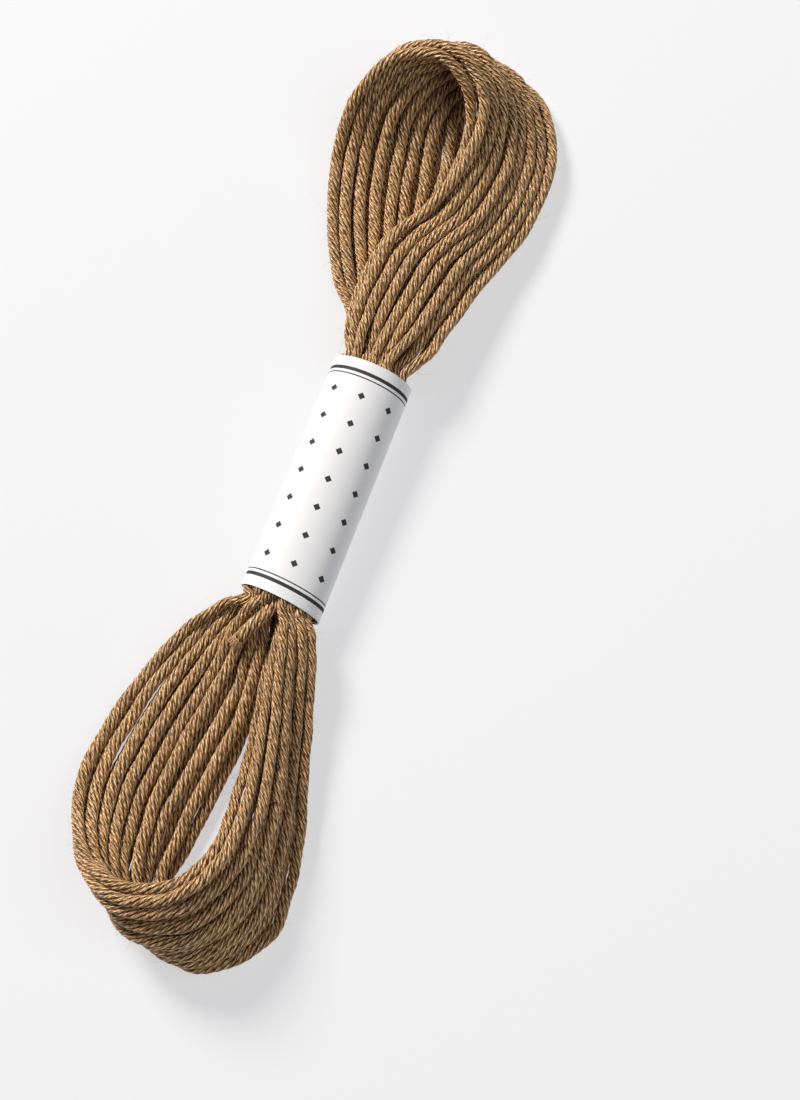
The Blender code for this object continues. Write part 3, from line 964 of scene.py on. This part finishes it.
def yarn_material():
    """Twisted yarn: plies that are twists of two strands, whose windings show as rows of beads, with a
    painted highlight on their high parts and painted shade in the grooves.
    """
    made = bpy.data.materials.new("spun_silk_yarn")
    made.use_nodes = True
    tree = made.node_tree
    shader = tree.nodes["Principled BSDF"]
    uv = add(tree, "ShaderNodeUVMap", {"uv_map": "UVMap"}).outputs[0]
    part = add(tree, "ShaderNodeSeparateXYZ", Vector=uv)
    ply = add(tree, "ShaderNodeMath", {"operation": "MULTIPLY"}, i0=part.outputs[0], i1=PLIES)
    off_crest = add(tree, "ShaderNodeMath", {"operation": "PINGPONG"}, i0=ply.outputs[0], i1=0.5)
    crown = add(tree, "ShaderNodeMapRange", {"interpolation_type": "SMOOTHSTEP"}, Value=off_crest.outputs[0],
                From_Min=CREST_HALF, From_Max=0.5, To_Min=1.0, To_Max=0.0)
    # the beads of a ply lean across it, and each ply starts them elsewhere
    lean = add(tree, "ShaderNodeMath", {"operation": "MULTIPLY"}, i0=ply.outputs[0], i1=BEAD_LEAN)
    bead_run = add(tree, "ShaderNodeMath", {"operation": "MULTIPLY_ADD"}, i0=part.outputs[1], i1=1 / BEAD,
                   i2=lean.outputs[0])
    grain = stretched_noise(tree, uv, GRAIN_ACROSS, GRAIN_ALONG, 1.0)
    uneven_run = add(tree, "ShaderNodeMath", {"operation": "MULTIPLY_ADD"}, i0=grain, i1=BEAD_UNEVEN,
                     i2=bead_run.outputs[0])
    bead_turn = add(tree, "ShaderNodeMath", {"operation": "MULTIPLY"}, i0=uneven_run.outputs[0],
                    i1=2 * math.pi)
    bead = add(tree, "ShaderNodeMath", {"operation": "COSINE"}, i0=bead_turn.outputs[0])
    swell = add(tree, "ShaderNodeMath", {"operation": "MULTIPLY_ADD"}, i0=bead.outputs[0], i1=BEAD_HEIGHT[1],
                i2=BEAD_HEIGHT[0])
    fibre = stretched_noise(tree, uv, FIBRE_ACROSS, FIBRE_ALONG, 2.0)
    dye = stretched_noise(tree, uv, DYE_ACROSS, DYE_ALONG, 2.0)
    raised = add(tree, "ShaderNodeMath", {"operation": "MULTIPLY"}, i0=crown.outputs[0], i1=swell.outputs[0])
    height = add(tree, "ShaderNodeMath", {"operation": "MULTIPLY_ADD"}, i0=grain, i1=GRAIN_HEIGHT,
                 i2=raised.outputs[0])
    # painted highlight on the high parts and painted shade on the low ones, both taken from the height
    painted_highlight = add(tree, "ShaderNodeMapRange", {"interpolation_type": "SMOOTHSTEP"}, Value=height.outputs[0],
                 From_Min=HIGHLIGHT_HEIGHTS[0], From_Max=HIGHLIGHT_HEIGHTS[1], To_Min=0.0, To_Max=1.0)
    painted_shade = add(tree, "ShaderNodeMapRange", {"interpolation_type": "SMOOTHSTEP"}, Value=height.outputs[0],
               From_Min=SHADE_HEIGHTS[0], From_Max=SHADE_HEIGHTS[1], To_Min=1.0, To_Max=0.0)
    # a colour Mix has its two colours at inputs 6 and 7, and its result at output 2
    lit = add(tree, "ShaderNodeMix", {"data_type": "RGBA"}, Factor=painted_highlight.outputs[0], i6=linear(YARN_BODY),
              i7=linear(YARN_PAINTED_HIGHLIGHT))
    shaded = add(tree, "ShaderNodeMix", {"data_type": "RGBA"}, Factor=painted_shade.outputs[0], i6=lit.outputs[2],
                 i7=linear(YARN_PAINTED_SHADE))
    streak = add(tree, "ShaderNodeMapRange", Value=fibre, From_Min=NOISE_RANGE[0], From_Max=NOISE_RANGE[1],
                 To_Min=FIBRE_TONES[0], To_Max=FIBRE_TONES[1])
    tone = add(tree, "ShaderNodeMapRange", Value=dye, From_Min=NOISE_RANGE[0], From_Max=NOISE_RANGE[1],
               To_Min=DYE_TONES[0], To_Max=DYE_TONES[1])
    strength = add(tree, "ShaderNodeMath", {"operation": "MULTIPLY"}, i0=streak.outputs[0],
                   i1=tone.outputs[0])
    colour = add(tree, "ShaderNodeVectorMath", {"operation": "SCALE"}, i0=shaded.outputs[2],
                 Scale=strength.outputs[0])
    tree.links.new(colour.outputs[0], shader.inputs["Base Color"])
    relief = add(tree, "ShaderNodeMath", {"operation": "MULTIPLY_ADD"}, i0=fibre, i1=FIBRE_HEIGHT,
                 i2=height.outputs[0])
    bump = add(tree, "ShaderNodeBump", Height=relief.outputs[0], Distance=RELIEF * MM, Strength=1.0)
    tree.links.new(bump.outputs[0], shader.inputs["Normal"])
    shader.inputs["Roughness"].default_value = SILK_ROUGHNESS
    shader.inputs["IOR"].default_value = SILK_IOR
    shader.inputs["Specular Tint"].default_value = linear(SHINE)
    return made


spun_yarn = yarn_material()
for piece in [*yarn, loose_end]:
    piece.data.materials.clear()
    piece.data.materials.append(spun_yarn)
print("yarn material:", len(spun_yarn.node_tree.nodes), "nodes")

# %% [markdown]
# ## Fibre material
#
# A single fibre is far too thin for a pattern, so one colour does. It is lighter than the yarn, as painted
# light for the light that passes through it, and the brush at the cut is a little darker, as painted shade
# between its fibres that stand close. It is rougher than the yarn, as one small highlight on a hair would
# only sparkle.

# %% Single silk fibres
FIBRE_ROUGHNESS = 0.5


def fibre_material(name, colour):
    """One colour for thin fibres of silk."""
    made = bpy.data.materials.new(name)
    made.use_nodes = True
    shader = made.node_tree.nodes["Principled BSDF"]
    shader.inputs["Base Color"].default_value = linear(colour)
    shader.inputs["Roughness"].default_value = FIBRE_ROUGHNESS
    shader.inputs["IOR"].default_value = SILK_IOR
    return made


# the loose fibres' colour is made lighter as painted light, and the brush's darker as painted shade between
# its close fibres
for piece, name, colour in ((flyaway, "silk_fibre", "#c9ad86"), (cut_brush, "cut_silk_fibre", "#c8a272")):
    piece.data.materials.append(fibre_material(name, colour))
    print(name, colour)

# %% [markdown]
# ## Paper material
#
# The band is thin uncoated paper: white and matt, with a faint unevenness of its pulp, and printed in one
# black. The print here is a plain one of its own, two rules at either end and a lattice of small diamonds
# between them. Both are worked out from the distance to a line, so their edges stay clean at any size: a
# rule is a band of distances from the paper's edge, and a diamond is where the distances to the lattice's
# nearest lines add up to little.

# %% Printed paper
PAPER_WHITE = "#ebebec"
INK = "#262426"
PAPER_ROUGHNESS = 0.7
PAPER_IOR = 1.5
PULP_TO_THE_MM = 2.6  # clumps of pulp to a millimetre
PULP_RELIEF = 0.01  # mm
RULES = [(1.9, 0.28), (2.7, 0.1)]  # printed lines: distance from the paper's edge and half width, mm
DIAMOND_SPACING = 4.6
DIAMOND = 0.62  # from its middle to a corner
DIAMONDS_HALF = 6.2  # how far the diamonds go to either side of the top line
DIAMONDS_FROM_EDGE = 4.0
INK_EDGE = 0.06  # width over which the ink's edge fades


def paper_material():
    """Uncoated paper printed in black with two rules at either end and a lattice of small diamonds."""
    made = bpy.data.materials.new("printed_uncoated_paper")
    made.use_nodes = True
    tree = made.node_tree
    shader = tree.nodes["Principled BSDF"]
    length = BAND_EDGES[1] - BAND_EDGES[0]
    uv = add(tree, "ShaderNodeUVMap", {"uv_map": "UVMap"}).outputs[0]
    place = add(tree, "ShaderNodeSeparateXYZ", Vector=uv)
    from_edge = add(tree, "ShaderNodeMath", {"operation": "PINGPONG"}, i0=place.outputs[1], i1=length / 2)
    ink = None
    for distance, half_width in RULES:
        rule = add(tree, "ShaderNodeMath", {"operation": "COMPARE"}, i0=from_edge.outputs[0], i1=distance,
                   i2=half_width)
        if ink is not None:
            rule = add(tree, "ShaderNodeMath", {"operation": "MAXIMUM"}, i0=ink.outputs[0],
                       i1=rule.outputs[0])
        ink = rule
    across = add(tree, "ShaderNodeMath", {"operation": "ABSOLUTE"}, i0=place.outputs[0])
    step_across = add(tree, "ShaderNodeMath", {"operation": "PINGPONG"}, i0=across.outputs[0],
                      i1=DIAMOND_SPACING / 2)
    mid = add(tree, "ShaderNodeMath", {"operation": "SUBTRACT"}, i0=place.outputs[1], i1=length / 2)
    step_along = add(tree, "ShaderNodeMath", {"operation": "PINGPONG"}, i0=mid.outputs[0],
                     i1=DIAMOND_SPACING / 2)
    corner = add(tree, "ShaderNodeMath", {"operation": "ADD"}, i0=step_across.outputs[0],
                 i1=step_along.outputs[0])
    diamond = add(tree, "ShaderNodeMapRange", Value=corner.outputs[0], From_Min=DIAMOND - INK_EDGE,
                  From_Max=DIAMOND, To_Min=1.0, To_Max=0.0)
    inner = add(tree, "ShaderNodeMath", {"operation": "LESS_THAN"}, i0=across.outputs[0], i1=DIAMONDS_HALF)
    clear = add(tree, "ShaderNodeMath", {"operation": "GREATER_THAN"}, i0=from_edge.outputs[0],
                i1=DIAMONDS_FROM_EDGE)
    field = add(tree, "ShaderNodeMath", {"operation": "MULTIPLY"}, i0=inner.outputs[0], i1=clear.outputs[0])
    marks = add(tree, "ShaderNodeMath", {"operation": "MULTIPLY"}, i0=diamond.outputs[0], i1=field.outputs[0])
    ink = add(tree, "ShaderNodeMath", {"operation": "MAXIMUM"}, i0=ink.outputs[0], i1=marks.outputs[0])
    colour = add(tree, "ShaderNodeMix", {"data_type": "RGBA"}, Factor=ink.outputs[0], i6=linear(PAPER_WHITE),
                 i7=linear(INK))
    tree.links.new(colour.outputs[2], shader.inputs["Base Color"])
    object_place = add(tree, "ShaderNodeTexCoord").outputs["Object"]
    pulp = add(tree, "ShaderNodeTexNoise", Vector=object_place, Scale=PULP_TO_THE_MM / MM, Detail=3.0,
               Roughness=0.6)
    bump = add(tree, "ShaderNodeBump", Height=pulp.outputs[0], Distance=PULP_RELIEF * MM, Strength=1.0)
    tree.links.new(bump.outputs[0], shader.inputs["Normal"])
    shader.inputs["Roughness"].default_value = PAPER_ROUGHNESS
    shader.inputs["IOR"].default_value = PAPER_IOR
    return made


band.data.materials.append(paper_material())
print("paper printed with", len(RULES), "rules at either end and diamonds", DIAMOND_SPACING, "mm apart")

# %% [markdown]
# ## Table
#
# The photograph was taken on white card that is lit so strongly that it keeps only faint shadows. A plain
# white table under this light would show much darker ones, so it is a grey one that also glows a little:
# painted light, which keeps its shadows faint.

# %% Table
TABLE_HALF = 1500.0  # mm
TABLE_GREY = "#9a9a9b"
TABLE_GLOW = "#f4f4f6"
# painted light: the card glows, which keeps its shadows faint and lights the skein a little from below
GLOW_STRENGTH = 0.61
CARD_ROUGHNESS = 0.9


def make_floor():
    """A plain grey table that glows a little, which is painted light; it is part of the stage, not of the
    object.
    """
    bm = bmesh.new()
    bmesh.ops.create_grid(bm, x_segments=1, y_segments=1, size=TABLE_HALF * MM)
    mesh = bpy.data.meshes.new("table")
    bm.to_mesh(mesh)
    bm.free()
    floor = bpy.data.objects.new("table", mesh)
    made = bpy.data.materials.new("glowing_grey_card")
    made.use_nodes = True
    shader = made.node_tree.nodes["Principled BSDF"]
    shader.inputs["Base Color"].default_value = linear(TABLE_GREY)
    shader.inputs["Roughness"].default_value = CARD_ROUGHNESS
    shader.inputs["Emission Color"].default_value = linear(TABLE_GLOW)
    shader.inputs["Emission Strength"].default_value = GLOW_STRENGTH
    mesh.materials.append(made)
    bpy.context.scene.collection.objects.link(floor)


make_floor()
print("table:", 2 * TABLE_HALF, "mm wide")

# %% [markdown]
# ## Light
#
# The strands are bright on the side towards the picture's upper left, and their shadows fall to the lower
# right. So a soft key light stands at the upper left, low enough to bring out the twist. A large weak light
# from the right and a faint sky fill the shadows. The view transform is the standard one, so that white
# card can come out nearly white.

# %% Studio light
# name, place in the picture (right, up, height in mm), diameter in m, power in W, colour
LIGHTS = [
    ("key", (-620, 720, 730), 0.4, 18.3, "#fffbf6"),
    ("fill", (700, -200, 1000), 1.2, 5.0, "#f8faff"),
]
SKY = "#f4f5f8"
SKY_STRENGTH = 0.1


def area_light(name, place, size, power, colour):
    """A round light that faces the skein."""
    data = bpy.data.lights.new(name, "AREA")
    data.shape = "DISK"
    data.size = size
    data.energy = power
    data.color = linear(colour)[:3]
    light = bpy.data.objects.new(name, data)
    light.location = place
    light.rotation_euler = (AIM - place).to_track_quat("-Z", "Y").to_euler()
    bpy.context.scene.collection.objects.link(light)
    return light


for name, place, size, power, colour in LIGHTS:
    area_light(name, from_picture(*place), size, power, colour)
    print("light:", name, power, "W")
world = bpy.data.worlds.new("studio")
world.use_nodes = True
world.node_tree.nodes["Background"].inputs["Color"].default_value = linear(SKY)
world.node_tree.nodes["Background"].inputs["Strength"].default_value = SKY_STRENGTH
bpy.context.scene.world = world
bpy.context.scene.view_settings.view_transform = "Standard"

# %% [markdown]
# ## Hand over
#
# Each piece is attached to a body of the imported model, and the solid that it stands for is hidden. The
# skein is one body, as nothing on it moves.

# %% Hand over
for piece in yarn:
    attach(piece, "root")
    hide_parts("hank")
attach(flyaway, "root")
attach(cut_brush, "root")
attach(loose_end, "root")
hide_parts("loose_end")
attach(band, "root")
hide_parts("band")
